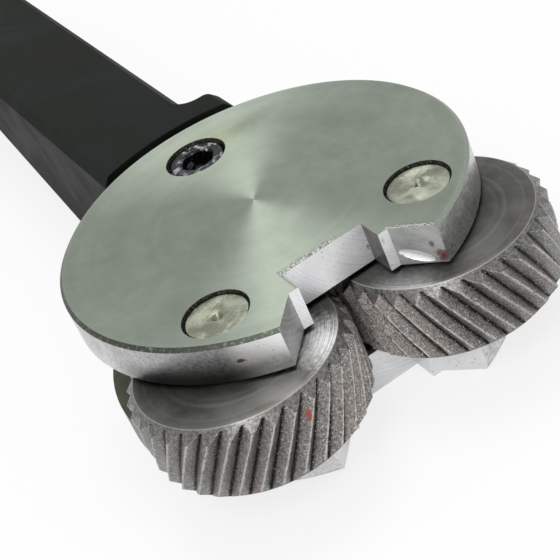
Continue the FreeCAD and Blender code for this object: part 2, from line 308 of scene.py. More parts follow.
def faced_steel(name, light, dark, height):
    """Plate faces: lathe-faced, greyed steel with a slight green cast, thin stains and burrs."""
    material, tree, place, shader = finish(name, anisotropic=0.85)
    ring_tone = use(tree, TURNING_MARKS, "Tone", Vector=place, Pitch=0.3 * MM)
    rings = use(tree, TURNING_MARKS, "Height", Vector=place, Pitch=0.09 * MM)
    cloud = use(tree, PATCHES, "Mask", Vector=place, Size=15 * MM, Edge=0.25, Level=0.5)
    fine_cloud = use(tree, PATCHES, "Mask", Vector=place, Size=2.5 * MM, Edge=0.3, Level=0.5)
    colour = blend(tree, cloud, dark, light)
    colour = blend(tree, ramp(tree, fine_cloud, 0, 1, 0, 0.18), colour, [0.7 * part for part in dark])
    colour = blend(tree, ramp(tree, ring_tone, 0.4, 0.65, 0, 0.12), colour,
                   [1.2 * part for part in light])
    by_screw = (SCREW_LOW.x + SCREW_RADIUS - 0.6 * MM, 1.0 * MM, height)
    stain = spot(tree, place, by_screw, 3.0 * MM, (0.9, 1.3, 4), 0.5)
    colour = blend(tree, calc(tree, "MULTIPLY", stain, 0.35), colour, OLIVE_STAIN)
    smudge = spot(tree, place, (-13.2 * MM, 6.2 * MM, height), 1.6 * MM, (0.8, 1.5, 4), 0.6)
    colour = blend(tree, calc(tree, "MULTIPLY", smudge, 0.4), colour, (0.10, 0.11, 0.08))
    pits = speckle(tree, place, 0.5 * MM, 0.74, 0.03)
    colour = blend(tree, calc(tree, "MULTIPLY", pits, 0.5), colour, (0.08, 0.09, 0.07))
    strokes = noise(tree, vector_calc(tree, "MULTIPLY", place, (0.22, 1, 1)), 0.10 * MM, detail=2.0)
    forward, sideways = axis_value(tree, place, "X"), axis_value(tree, place, "Y")
    along_notch = calc(tree, "MULTIPLY", ramp(tree, forward, NOTCH_BACK - 0.85 * MM, NOTCH_BACK - 0.4 * MM),
                       ramp(tree, sideways, 0.6 * MM, 2.4 * MM, 1, 0))
    along_notch = calc(tree, "MULTIPLY", along_notch,
                       ramp(tree, sideways, -NOTCH_HALF_WIDTH - 0.25 * MM, -NOTCH_HALF_WIDTH))
    mouth = ramp(tree, beyond(tree, place, MOUTH_START, MOUTH_FACING), -0.55 * MM, -0.25 * MM)
    along_mouth = calc(tree, "MULTIPLY", mouth,
                       ramp(tree, sideways, MOUTH_HALF_WIDTH - 0.5 * MM, MOUTH_HALF_WIDTH))
    along_mouth = calc(tree, "MULTIPLY", along_mouth,
                       ramp(tree, forward, SHOULDER - 0.5 * MM, SHOULDER + 0.1 * MM))
    zone = calc(tree, "MAXIMUM", along_notch, along_mouth)
    burr = blend(tree, ramp(tree, strokes, 0.46, 0.54), (0.07, 0.075, 0.06), (0.60, 0.61, 0.57))
    colour = blend(tree, calc(tree, "MULTIPLY", zone, 0.65), colour, burr)
    feed(tree, shader, colour, ramp(tree, fine_cloud, 0, 1, 0.38, 0.46))
    ring_tangent(tree, shader)
    bump(tree, shader, (rings, 0.01 * MM, 0.5), (calc(tree, "MULTIPLY", zone, strokes), 0.1 * MM, 0.8))
    return material


def rim_steel(name, shade_from, shade_to):
    """Turned rims: bright and grainy; on the left painted shade, darkest at the bottom, comes in between
    two X positions; a painted highlight lies on the front.
    """
    material, tree, place, shader = finish(name)
    grain = noise(tree, place, 0.3 * MM, detail=6.0, roughness=0.7)
    patch = use(tree, PATCHES, "Mask", Vector=place, Size=5 * MM, Edge=0.16, Level=0.52)
    colour = blend(tree, ramp(tree, grain, 0.3, 0.7), (0.42, 0.425, 0.42), (0.80, 0.81, 0.81))
    colour = blend(tree, ramp(tree, patch, 0, 1, 0, 0.35), colour, (0.28, 0.28, 0.27))
    height, forward = axis_value(tree, place, "Z"), axis_value(tree, place, "X")
    low = PLATE_BOTTOM + 0.3 * MM
    # Painted shade: a dark band on the left of the rim, darkest at the bottom, between two X positions.
    rim_painted_shade = calc(tree, "MULTIPLY", ramp(tree, height, low, low + 2.3 * MM, 0.96, 0.35),
                ramp(tree, forward, shade_from, shade_to, 0.0, 1.0))
    sideways = axis_value(tree, place, "Y")
    rim_painted_shade = calc(tree, "MULTIPLY", rim_painted_shade, ramp(tree, forward, 15.2 * MM, 17 * MM, 1.0, 0.0))
    rim_painted_shade = calc(tree, "MULTIPLY", rim_painted_shade, ramp(tree, sideways, -4 * MM, 0.0, 1.0, 0.0))
    colour = blend(tree, rim_painted_shade, colour, (0.045, 0.045, 0.045))
    # Painted highlight: near white on the front of the rim, stronger higher up.
    corner_highlight = calc(tree, "MULTIPLY", ramp(tree, forward, 14.4 * MM, 16 * MM),
                  ramp(tree, sideways, 0.0, 2 * MM, 1.0, 0.0))
    corner_highlight = calc(tree, "MULTIPLY", corner_highlight, ramp(tree, height, low + 0.4 * MM, low + 1.8 * MM, 0.3, 1.0))
    colour = blend(tree, calc(tree, "MULTIPLY", corner_highlight, 0.85), colour, (0.97, 0.97, 0.97))
    pits = speckle(tree, place, 0.35 * MM, 0.68, 0.04)
    colour = blend(tree, calc(tree, "MULTIPLY", pits, 0.8), colour, (0.07, 0.06, 0.055))
    red = spot(tree, place, (15.4 * MM, -11.1 * MM, HEAD_TOP - 1.9 * MM), 0.34 * MM, (1.3, 1.3, 0.6))
    colour = blend(tree, calc(tree, "MULTIPLY", red, 0.85), colour, RED_MARK)
    feed(tree, shader, colour, ramp(tree, grain, 0.2, 0.8, 0.26, 0.42))
    bump(tree, shader, (grain, 0.02 * MM, 0.5), (pits, 0.02 * MM, -0.5))
    return material


def chamfer_steel():
    """Rim chamfer: darker towards -Y, lighter towards +Y, with lighter flecks in the grain."""
    material, tree, place, shader = finish("rim_chamfer_steel")
    grain = noise(tree, place, 0.3 * MM, detail=5.0)
    sideways = axis_value(tree, place, "Y")
    colour = blend(tree, ramp(tree, sideways, -9 * MM, 3 * MM), (0.065, 0.072, 0.06), (0.27, 0.30, 0.26))
    colour = blend(tree, ramp(tree, grain, 0.5, 0.75, 0, 0.5), colour, (0.42, 0.43, 0.40))
    feed(tree, shader, colour, ramp(tree, grain, 0, 1, 0.4, 0.55))
    bump(tree, shader, (grain, 0.02 * MM, 0.4))
    return material


def milled_steel(name, light, dark, centre, red_marks=(), roughness=0.3):
    """Milled walls: arcs left by the cutter about a centre, and reddish dirt in the corners."""
    material, tree, place, shader = finish(name, metallic=0.4)
    arcs = use(tree, MILLING_MARKS, "Height", Vector=place, Pitch=0.10 * MM, Centre=centre)
    grain = noise(tree, place, 0.25 * MM, detail=5.0, roughness=0.7)
    patch = use(tree, PATCHES, "Mask", Vector=place, Size=2.2 * MM, Edge=0.2, Level=0.5)
    tone = calc(tree, "ADD", calc(tree, "MULTIPLY", ramp(tree, arcs, 0.3, 0.7), 0.45),
                calc(tree, "MULTIPLY", patch, 0.55))
    colour = blend(tree, tone, dark, light)
    pits = speckle(tree, place, 0.3 * MM, 0.66, 0.04)
    colour = blend(tree, calc(tree, "MULTIPLY", pits, 0.7), colour, (0.10, 0.09, 0.09))
    for spot_centre, radius, stretch in red_marks:
        mark = spot(tree, place, [part * MM for part in spot_centre], 0.8 * radius * MM, stretch, 0.15)
        colour = blend(tree, calc(tree, "MULTIPLY", mark, 0.7), colour, RED_MARK)
    feed(tree, shader, colour, ramp(tree, arcs, 0.2, 0.8, roughness - 0.05, roughness + 0.1))
    bump(tree, shader, (arcs, 0.02 * MM, 0.6), (grain, 0.015 * MM, 0.4))
    return material


def painted_gap_shade():
    """Painted shade in the narrow rings between the plates and what sits in them: nearly black, with
    lighter grain.
    """
    material, tree, place, shader = finish("painted_gap_shade", metallic=0.4)
    grain = noise(tree, place, 0.2 * MM)
    colour = blend(tree, ramp(tree, grain, 0.45, 0.75), (0.02, 0.02, 0.016), (0.20, 0.20, 0.16))
    feed(tree, shader, colour, ramp(tree, grain, 0, 1, 0.4, 0.6))
    return material


def pin_steel():
    """Pin ends: faced, slightly yellowed where oil has dried."""
    material, tree, place, shader = finish("pin_steel", anisotropic=0.4)
    cloud = use(tree, PATCHES, "Mask", Vector=place, Size=2.0 * MM, Edge=0.14, Level=0.5)
    grain = noise(tree, place, 0.3 * MM, detail=6.0, roughness=0.75)
    colour = blend(tree, cloud, (0.17, 0.18, 0.13), (0.31, 0.33, 0.265))
    colour = blend(tree, ramp(tree, grain, 0.6, 0.75, 0, 0.6), colour, (0.08, 0.075, 0.05))
    colour = blend(tree, ramp(tree, grain, 0.42, 0.28, 0, 0.4), colour, (0.62, 0.63, 0.52))
    feed(tree, shader, colour, ramp(tree, cloud, 0, 1, 0.32, 0.45))
    ring_tangent(tree, shader)
    bump(tree, shader, (grain, 0.03 * MM, 0.6), (cloud, 0.05 * MM, 0.5))
    return material


def screw_steel():
    """Blackened screw, rubbed bright in places."""
    material, tree, place, shader = finish("blackened_screw_steel", metallic=0.9)
    rub = speckle(tree, place, 0.9 * MM, 0.57, 0.05)
    grain = noise(tree, place, 0.25 * MM, detail=6.0, roughness=0.7)
    colour = blend(tree, ramp(tree, grain, 0.45, 0.7), (0.010, 0.011, 0.013), (0.040, 0.041, 0.045))
    colour = blend(tree, rub, colour, (0.34, 0.34, 0.36))
    feed(tree, shader, colour, ramp(tree, grain, 0, 1, 0.25, 0.45))
    bump(tree, shader, (grain, 0.06 * MM, 0.8), (rub, 0.04 * MM, 0.6))
    return material


def radial_reach(tree, place, centre):
    """Distance of the surface from a wheel's axis."""
    offset = vector_calc(tree, "SUBTRACT", place, centre)
    return vector_calc(tree, "LENGTH", vector_calc(tree, "MULTIPLY", offset, (1, 1, 0)))


def tooth_steel(name, centre, brown_flank, red_marks):
    """Hardened teeth: one flank smooth and grey, the other brown and granular, crests rubbed; painted shade
    near black in the roots and painted highlights in small bright specks.
    """
    material, tree, place, shader = finish(f"{name}_tooth_steel")
    reach = radial_reach(tree, place, centre)
    grain = noise(tree, place, 0.2 * MM, detail=6.0, roughness=0.8)
    cloud = use(tree, PATCHES, "Mask", Vector=place, Size=4 * MM, Edge=0.15, Level=0.5)
    flank = put(tree, "ShaderNodeAttribute", attribute_name="tooth_flank").outputs["Fac"]
    brown = ramp(tree, flank, 0.45, 0.55, 1 - brown_flank, brown_flank)
    brown = calc(tree, "MULTIPLY", brown, ramp(tree, cloud, 0, 1, 0.35, 0.95))
    grey = blend(tree, cloud, (0.17, 0.175, 0.17), (0.27, 0.27, 0.265))
    rust = blend(tree, cloud, (0.17, 0.143, 0.125), (0.27, 0.22, 0.195))
    colour = blend(tree, calc(tree, "MULTIPLY", brown, 0.85), grey, rust)
    colour = blend(tree, ramp(tree, grain, 0.44, 0.62, 0, 0.8), colour, (0.40, 0.385, 0.37))
    colour = blend(tree, ramp(tree, grain, 0.36, 0.5, 0.7, 0), colour, (0.07, 0.06, 0.055))
    # Painted shade: the bottom of each tooth gap is darkened to near black.
    depth = ramp(tree, reach, WHEEL_RADIUS - TOOTH_DEPTH, WHEEL_RADIUS - 0.72 * TOOTH_DEPTH, 0.95, 0.0)
    colour = blend(tree, depth, colour, (0.008, 0.007, 0.007))
    ragged = calc(tree, "ADD", reach, calc(tree, "MULTIPLY", grain, 0.12 * MM))
    crest = ramp(tree, ragged, WHEEL_RADIUS - 0.05 * MM, WHEEL_RADIUS + 0.05 * MM)
    colour = blend(tree, calc(tree, "MULTIPLY", crest, 0.8), colour, (0.62, 0.61, 0.60))
    pits = speckle(tree, place, 0.15 * MM, 0.60, 0.05)
    colour = blend(tree, calc(tree, "MULTIPLY", pits, ramp(tree, brown, 0, 1, 0.35, 0.85)),
                   colour, (0.02, 0.015, 0.012))
    # Painted highlights: small bright specks over the teeth.
    painted_glint = speckle(tree, place, 0.12 * MM, 0.62, 0.03)
    colour = blend(tree, calc(tree, "MULTIPLY", painted_glint, 0.9), colour, (0.85, 0.82, 0.80))
    for spot_centre, radius, stretch, tint in red_marks:
        mark = spot(tree, place, spot_centre, radius, stretch, 0.2)
        colour = blend(tree, calc(tree, "MULTIPLY", mark, 0.8), colour, tint)
    feed(tree, shader, colour, ramp(tree, grain, 0.2, 0.8, 0.30, 0.52))
    bump(tree, shader, (grain, 0.06 * MM, 0.8), (pits, 0.04 * MM, -0.6))
    return material


def wheel_face_steel(name, centre, highlight_at, shine):
    """Flat wheel faces and bevels: ground, dark grey, with turning marks."""
    material, tree, place, shader = finish(f"{name}_face_steel", anisotropic=0.7)
    reach = radial_reach(tree, place, centre)
    rings = use(tree, TURNING_MARKS, "Height", Vector=place, Centre=centre, Pitch=0.12 * MM)
    tone = use(tree, TURNING_MARKS, "Tone", Vector=place, Centre=centre, Pitch=0.10 * MM)
    cloud = use(tree, PATCHES, "Mask", Vector=place, Size=5 * MM, Edge=0.2, Level=0.5)
    colour = blend(tree, cloud, (0.060, 0.058, 0.052), (0.125, 0.123, 0.115))
    colour = blend(tree, ramp(tree, tone, 0.5, 0.7, 0, 0.22), colour, (0.22, 0.22, 0.21))
    # Painted highlight: a soft patch on the top face, broken into arcs by the turning marks, in the tone
    # given as shine.
    face_highlight = spot(tree, place, highlight_at, 2.6 * MM, softness=0.7)
    highlight_arcs = calc(tree, "MULTIPLY", face_highlight, ramp(tree, rings, 0.35, 0.6, 0.45, 1.0))
    colour = blend(tree, highlight_arcs, colour, (shine, shine, shine))
    bevel = ramp(tree, reach, WHEEL_FACE_RADIUS - 0.04 * MM, WHEEL_FACE_RADIUS + 0.04 * MM)
    grain = noise(tree, place, 0.25 * MM, detail=5.0, roughness=0.75)
    worn = blend(tree, ramp(tree, grain, 0.35, 0.7), (0.09, 0.088, 0.082), (0.26, 0.255, 0.25))
    colour = blend(tree, bevel, colour, worn)
    # Painted highlight: a thin bright ring along the edge between the flat face and the bevel.
    edge = calc(tree, "SUBTRACT", reach, WHEEL_FACE_RADIUS)
    edge_highlight = ramp(tree, calc(tree, "ABSOLUTE", edge), 0.01 * MM, 0.06 * MM, 0.4, 0.0)
    colour = blend(tree, edge_highlight, colour, (0.5, 0.5, 0.48))
    # Painted highlights: small bright specks.
    painted_glint = speckle(tree, place, 0.3 * MM, 0.74, 0.02)
    colour = blend(tree, painted_glint, colour, (0.6, 0.6, 0.58))
    feed(tree, shader, colour, ramp(tree, tone, 0, 1, 0.34, 0.44))
    ring_tangent(tree, shader)
    bump(tree, shader, (rings, 0.02 * MM, 0.6), (grain, 0.02 * MM, 0.4))
    return material


def blackened_steel():
    """Body: matt black oxide over a fine ground skin."""
    material, tree, place, shader = finish("black_oxide_steel", metallic=0.0, specular=0.05)
    grain = noise(tree, place, 0.5 * MM, detail=6.0, roughness=0.65)
    cloud = use(tree, PATCHES, "Mask", Vector=place, Size=9 * MM, Edge=0.2, Level=0.5)
    colour = blend(tree, cloud, (0.0055, 0.008, 0.0075), (0.011, 0.0125, 0.0095))
    colour = blend(tree, ramp(tree, grain, 0.55, 0.8, 0, 0.35), colour, (0.022, 0.024, 0.020))
    scuffs = speckle(tree, place, 1.3 * MM, 0.72, 0.04)
    colour = blend(tree, calc(tree, "MULTIPLY", scuffs, 0.35), colour, (0.045, 0.046, 0.040))
    feed(tree, shader, colour, ramp(tree, cloud, 0, 1, 0.5, 0.62))
    bump(tree, shader, (grain, 0.05 * MM, 0.5), (cloud, 0.2 * MM, 0.2))
    return material


# ---------------------------------------------------------------- mesh helpers
def shade(mesh, angle=35):
    """Smooth shading with edges kept sharp above an angle."""
    mesh.polygons.foreach_set("use_smooth", [True] * len(mesh.polygons))
    mesh.set_sharp_from_angle(angle=math.radians(angle))


def add_piece(name, mesh, body, node):
    """Put a finished mesh in the scene as the piece that stands for a CAD node."""
    piece = bpy.data.objects.new(name, mesh)
    bpy.context.scene.collection.objects.link(piece)
    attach(piece, body)
    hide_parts(node)
    return piece


def evaluated_mesh(holder, name):
    """The mesh of an object with its modifiers applied; the object itself is removed."""
    bpy.context.view_layer.update()
    graph = bpy.context.evaluated_depsgraph_get()
    mesh = bpy.data.meshes.new_from_object(holder.evaluated_get(graph), depsgraph=graph)
    mesh.name = name
    bpy.data.objects.remove(holder)
    return mesh


def soft_edged_copy(node, width, steps, cutters=()):
    """A CAD node's mesh joined into one surface, with every sharp edge rounded."""
    mesh = frame["nodes"][node].data.copy()
    work = bmesh.new()
    work.from_mesh(mesh)
    bmesh.ops.remove_doubles(work, verts=work.verts, dist=MERGE_DISTANCE)
    bmesh.ops.dissolve_limit(work, angle_limit=math.radians(0.5), verts=work.verts, edges=work.edges)
    work.to_mesh(mesh)
    work.free()
    shade(mesh, 24)
    holder = bpy.data.objects.new(f"{node}_holder", mesh)
    bpy.context.scene.collection.objects.link(holder)
    for cutter in cutters:
        cut = holder.modifiers.new("cut", "BOOLEAN")
        cut.operation = "DIFFERENCE"
        cut.solver = "EXACT"
        cut.object = cutter
    rounding = holder.modifiers.new("rounding", "BEVEL")
    rounding.width = width
    rounding.segments = steps
    rounding.limit_method = "ANGLE"
    rounding.angle_limit = math.radians(25)
    rounding.harden_normals = True
    result = evaluated_mesh(holder, f"{node}_finished")
    for cutter in cutters:
        bpy.data.objects.remove(cutter)
    result.materials.clear()
    for face in result.polygons:
        if max(abs(part) for part in face.normal) > 0.9999:
            face.use_smooth = False
    return result


def turned(name, rings, centre, steps=96):
    """A closed surface round a vertical axis; each ring is (radius or radius of angle, height)."""
    work = bmesh.new()
    previous = None
    for radius, height in rings:
        if radius == 0:
            current = [work.verts.new((centre.x, centre.y, height))]
        else:
            current = []
            for step in range(steps):
                angle = 2 * math.pi * step / steps
                reach = radius(angle) if callable(radius) else radius
                lift = height(angle) if callable(height) else height
                current.append(work.verts.new((centre.x + reach * math.cos(angle),
                                               centre.y + reach * math.sin(angle), lift)))
        if previous is not None:
            join_rings(work, previous, current, steps)
        previous = current
    bmesh.ops.recalc_face_normals(work, faces=work.faces)
    mesh = bpy.data.meshes.new(name)
    work.to_mesh(mesh)
    work.free()
    return mesh


def join_rings(work, lower, upper, steps):
    """Faces between two rings of points, either of which may be a single point."""
    for step in range(steps):
        following = (step + 1) % steps
        if len(lower) == 1:
            work.faces.new((lower[0], upper[step], upper[following]))
        elif len(upper) == 1:
            work.faces.new((lower[step], upper[0], lower[following]))
        else:
            work.faces.new((lower[step], upper[step], upper[following], lower[following]))


# ---------------------------------------------------------------- head plates
def gouge_cutter():
    """Flattened ball that takes a thin bite out of the top plate's right mouth wall."""
    along, facing = Vector(MOUTH_ALONG), Vector(MOUTH_FACING)
    centre = Vector(MOUTH_START) + along * 1.7 * MM + facing * 0.28 * MM + Vector((0, 0, 0.85 * MM))
    axes = Matrix((along, -facing, (0, 0, 1))).transposed().to_4x4()
    tilt = Matrix.Rotation(math.radians(20), 4, "Y")
    scale = Matrix.Diagonal((1.95 * MM, 0.5 * MM, 0.62 * MM, 1))
    mesh = bpy.data.meshes.new("gouge")
    work = bmesh.new()
    bmesh.ops.create_uvsphere(work, u_segments=48, v_segments=24, radius=1,
                              matrix=Matrix.Translation(centre) @ axes @ tilt @ scale)
    work.to_mesh(mesh)
    work.free()
    ball = bpy.data.objects.new("gouge", mesh)
    bpy.context.scene.collection.objects.link(ball)
    return ball


def plate_finish_index(face):
    """Which finish a face of a plate takes, from where it is and which way it looks; walls take lit or
    shaded painted copies of the milled finish by the way they face.
    """
    faced, rim, chamfer, back_wall, facet, side_wall, ring, gouge = range(8)
    centre, normal = face.center, face.normal
    level = abs(normal.z) > 0.93
    bore_reach = PIN_RADIUS + 0.12 * MM
    if not level and any((centre.xy - middle).length < bore_reach for middle in BORE_CENTRES):
        return ring
    if not level and centre.y > MOUTH_HALF_WIDTH and centre.z > PLATE_BOTTOM:
        inset = (centre - Vector(MOUTH_START)).dot(Vector(MOUTH_FACING))
        within = SHOULDER - 0.1 * MM < centre.x and centre.xy.length < HEAD_RADIUS - 0.5 * MM
        if within and inset < -0.02 * MM:
            return gouge
    if level:
        return faced
    if centre.xy.length > HEAD_RADIUS - 0.45 * MM:
        return chamfer if abs(normal.z) > 0.3 else rim
    if abs(normal.y) > 0.9:
        return side_wall
    return facet if abs(normal.y) > 0.3 else back_wall


def plate(node, materials, cutters=()):
    """A head plate with broken edges and its own finish on each kind of face."""
    mesh = soft_edged_copy(node, PLATE_EDGE, 2, cutters)
    for material in materials:
        mesh.materials.append(material)
    for face in mesh.polygons:
        face.material_index = plate_finish_index(face)
    return add_piece(f"{node}_steel", mesh, "head", node)


# ---------------------------------------------------------------- pins and screw
def axle_pin(node, dented):
    """Pin with chamfered, centre-drilled ends; dented gives the visible end a hammer mark."""
    low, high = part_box(node)
    centre = (low + high) / 2
    high = high - Vector((0, 0, PIN_END_DROP))
    edge = PIN_RADIUS - PIN_CHAMFER

    def dished(radius):
        """Height of the end face at a radius, uneven where it has been struck."""
        if not dented:
            return high.z - 0.05 * MM * (1 - radius / edge)
        return lambda angle: high.z - MM * (
            0.07 + 0.05 * math.sin(2 * angle + 3 * radius / PIN_RADIUS)
            + 0.06 * math.cos(3 * angle + 9 * radius / PIN_RADIUS)) * (1 - (radius / edge) ** 4)

    def dimple(angle):
        """Radius of the centre-drilled hole's mouth at an angle."""
        return DIMPLE_RADIUS * (1 + (0.45 * math.sin(angle) + 0.25 * math.sin(3 * angle)) * dented)

    rings = [(0, low.z + DIMPLE_DEPTH), (DIMPLE_RADIUS, low.z), (edge, low.z),
             (PIN_RADIUS, low.z + PIN_CHAMFER), (PIN_RADIUS, high.z - PIN_CHAMFER),
             (edge + 0.02 * MM, high.z - 0.02 * MM)]
    for share in (0.96, 0.85, 0.7, 0.55, 0.4, 0.3):
        rings.append((edge * share, dished(edge * share)))
    rings += [(dimple, high.z - 0.08 * MM), (0.15 * MM, high.z - DIMPLE_DEPTH * 0.9),
              (0, high.z - DIMPLE_DEPTH)]
    mesh = turned(f"{node}_finished", rings, centre)
    mesh.materials.append(PIN_STEEL)
    mesh.materials.append(PAINTED_GAP_SHADE)
    # Faces outside the end face, the chamfers and the sides, take the painted gap shade.
    for face in mesh.polygons:
        if (face.center.xy - centre.xy).length > edge:
            face.material_index = 1
    shade(mesh, 30)
    return add_piece(f"{node}_steel", mesh, "head", node)


def hexagon(half_flats, rounding):
    """Radius of a hexagon at an angle; rounding from 0 (sharp) to 1 (circle) softens its corners."""
    def radius(angle):
        turn = (angle + math.pi / 6) % (math.pi / 3) - math.pi / 6
        sharp = half_flats / math.cos(turn)
        return sharp + (half_flats - sharp) * rounding
    return radius


def pivot_screw():
    """Headless screw: first thread turn at its top edge, and a worn hexagon socket."""
    centre = (SCREW_LOW + SCREW_HIGH) / 2
    top, bottom, chamfer = SCREW_HIGH.z, SCREW_LOW.z, SCREW_CHAMFER
    edge = SCREW_RADIUS - chamfer

    def thread_start(angle):
        return top - chamfer - 0.12 * MM * (angle / (2 * math.pi))

    rings = [(0, bottom), (edge, bottom), (SCREW_RADIUS, bottom + chamfer),
             (SCREW_RADIUS, top - 3 * chamfer), (SCREW_RADIUS, thread_start),
             (SCREW_RADIUS - 0.25 * MM, top - 0.35 * MM), (edge + 0.1 * MM, top - 0.08 * MM),
             (edge, top),
             (hexagon(SOCKET_HALF_FLATS + 0.22 * MM, 0.45), top - 0.03 * MM),
             (hexagon(SOCKET_HALF_FLATS + 0.04 * MM, 0.2), top - 0.22 * MM),
             (hexagon(SOCKET_HALF_FLATS, 0.1), top - 0.5 * MM),
             (hexagon(SOCKET_HALF_FLATS, 0.05), top - SOCKET_DEPTH),
             (0, top - SOCKET_DEPTH - 0.6 * MM)]
    mesh = turned("pivot_screw_finished", rings, centre, steps=120)
    mesh.materials.append(screw_steel())
    shade(mesh, 30)
    return add_piece("pivot_screw_steel", mesh, "head", "pivot_screw")


# ---------------------------------------------------------------- knurling wheels
def wheel_section():
    """Half section of a wheel blank as (radius, height) points, closed, finer under the bevels."""
    bore, width, face, crest = WHEEL_BORE, WHEEL_WIDTH, WHEEL_FACE_RADIUS, WHEEL_RADIUS
    ease = 0.25 * MM
    outside = crest + 0.02 * MM
    bevel = outside - face
    corners = [(bore, ease, 4), (bore + ease, 0, 10), (face - 0.02 * MM, 0, 1), (face, 0.01 * MM, 22),
               (outside, bevel, 34), (outside, width - bevel, 22), (face, width - 0.01 * MM, 1),
               (face - 0.02 * MM, width, 10), (bore + ease, width, 4), (bore, width - ease, 10)]
    points = []
    for index, (radius, height, pieces) in enumerate(corners):
        following = corners[(index + 1) % len(corners)]
        for step in range(pieces):
            share = step / pieces
            points.append((radius + (following[0] - radius) * share,
                           height + (following[1] - height) * share))
    return points + [points[0]]


def make_toothed_wheel():
    """Geometry nodes: turn a half section round Z and cut helical V teeth all round it."""
    tree = bpy.data.node_groups.new("toothed_wheel", "GeometryNodeTree")
    sockets = tree.interface
    sockets.new_socket("Section", in_out="INPUT", socket_type="NodeSocketGeometry")
    for label, kind, default in (
            ("Teeth", "Int", 33), ("Steps per tooth", "Int", 16), ("Crest radius", "Float", 0.01),
            ("Tooth depth", "Float", 0.0008), ("Twist per metre", "Float", 50.0),
            ("Wear", "Float", 0.00002), ("Face radius", "Float", 0.009), ("Seed", "Float", 0.0)):
        sockets.new_socket(label, in_out="INPUT", socket_type=f"NodeSocket{kind}").default_value = default
    sockets.new_socket("Centre", in_out="INPUT", socket_type="NodeSocketVector")
    sockets.new_socket("Tooth finish", in_out="INPUT", socket_type="NodeSocketMaterial")
    sockets.new_socket("Face finish", in_out="INPUT", socket_type="NodeSocketMaterial")
    sockets.new_socket("Wheel", in_out="OUTPUT", socket_type="NodeSocketGeometry")
    given = tree.nodes.new("NodeGroupInput").outputs
    result = tree.nodes.new("NodeGroupOutput")

    rows = put(tree, "GeometryNodeAttributeDomainSize", {"Geometry": given["Section"]})
    row_count = rows.outputs["Point Count"]
    around = calc(tree, "MULTIPLY", given["Teeth"], given["Steps per tooth"])
    sheet = put(tree, "GeometryNodeMeshGrid", {
        "Size X": 1.0, "Size Y": 1.0, "Vertices X": calc(tree, "ADD", around, 1.0),
        "Vertices Y": row_count})
    index = put(tree, "GeometryNodeInputIndex").outputs[0]
    row = calc(tree, "FLOORED_MODULO", index, row_count)
    column = calc(tree, "FLOOR", calc(tree, "DIVIDE", index, row_count))
    sample = put(tree, "GeometryNodeSampleIndex", {
        "Geometry": given["Section"], "Value": put(tree, "GeometryNodeInputPosition").outputs[0],
        "Index": row}, data_type="FLOAT_VECTOR", domain="POINT")
    parts = put(tree, "ShaderNodeSeparateXYZ", {"Vector": sample.outputs[0]})
    limit, height = parts.outputs["X"], parts.outputs["Z"]

    tooth = calc(tree, "DIVIDE", column, given["Steps per tooth"])
    flank = calc(tree, "GREATER_THAN", calc(tree, "FRACT", tooth), 0.49)
    marked = put(tree, "GeometryNodeStoreNamedAttribute", {
        "Geometry": sheet.outputs["Mesh"], "Name": "tooth_flank", "Value": flank})
    fold = calc(tree, "ABSOLUTE", calc(tree, "SUBTRACT", calc(tree, "FRACT", tooth), 0.5))
    rise = ramp(tree, fold, 0.02, 0.475, 0.0, 1.0, smooth=False)
    turn = calc(tree, "MULTIPLY", calc(tree, "DIVIDE", tooth, given["Teeth"]), 2 * math.pi)
    angle = calc(tree, "ADD", turn, calc(tree, "MULTIPLY", height, given["Twist per metre"]))
    cosine, sine = calc(tree, "COSINE", angle), calc(tree, "SINE", angle)

    place = put(tree, "ShaderNodeCombineXYZ", {"X": cosine, "Y": sine,
                                               "Z": calc(tree, "MULTIPLY", height, 100.0)})
    chips = put(tree, "ShaderNodeTexNoise", {
        "Vector": place.outputs[0], "W": given["Seed"], "Scale": 38.0, "Detail": 3.0},
        noise_dimensions="4D")
    worn = calc(tree, "MULTIPLY", given["Wear"], ramp(tree, chips.outputs["Fac"], 0.42, 0.75))
    root = calc(tree, "SUBTRACT", given["Crest radius"], given["Tooth depth"])
    tooth_reach = calc(tree, "ADD", root, calc(tree, "MULTIPLY", given["Tooth depth"], rise))
    tooth_reach = calc(tree, "SUBTRACT", tooth_reach, calc(tree, "MULTIPLY", worn, rise))
    reach = calc(tree, "MINIMUM", limit, tooth_reach)
    point = put(tree, "ShaderNodeCombineXYZ", {
        "X": calc(tree, "MULTIPLY", reach, cosine), "Y": calc(tree, "MULTIPLY", reach, sine),
        "Z": height})
    point = vector_calc(tree, "ADD", point.outputs[0], given["Centre"])
    shaped = put(tree, "GeometryNodeSetPosition", {"Geometry": marked.outputs["Geometry"],
                                                   "Position": point})
    closed = put(tree, "GeometryNodeMergeByDistance", {"Geometry": shaped.outputs[0],
                                                       "Distance": 0.0005 * MM})
    whole = put(tree, "GeometryNodeRealizeInstances", {"Geometry": closed.outputs[0]})
    toothed = put(tree, "GeometryNodeSetMaterial", {"Geometry": whole.outputs[0],
                                                    "Material": given["Tooth finish"]})
    from_axis = vector_calc(tree, "SUBTRACT", put(tree, "GeometryNodeInputPosition").outputs[0],
                            given["Centre"])
    flat_reach = vector_calc(tree, "LENGTH", vector_calc(tree, "MULTIPLY", from_axis, (1, 1, 0)))
    slope = put(tree, "ShaderNodeSeparateXYZ", {
        "Vector": put(tree, "GeometryNodeInputNormal").outputs[0]}).outputs["Z"]
    on_end = calc(tree, "GREATER_THAN", calc(tree, "ABSOLUTE", slope), 0.6)
    inside = calc(tree, "LESS_THAN", flat_reach, given["Face radius"])
    ends = calc(tree, "MAXIMUM", on_end, inside)
    faced = put(tree, "GeometryNodeSetMaterial", {"Geometry": toothed.outputs[0], "Selection": ends,
                                                  "Material": given["Face finish"]})
    tree.links.new(faced.outputs[0], result.inputs["Wheel"])
    return tree


def set_inputs(modifier, values):
    """Give a geometry nodes modifier its inputs by their labels."""
    for item in modifier.node_group.interface.items_tree:
        if item.in_out == "INPUT" and item.name in values:
            modifier[item.identifier] = values[item.name]


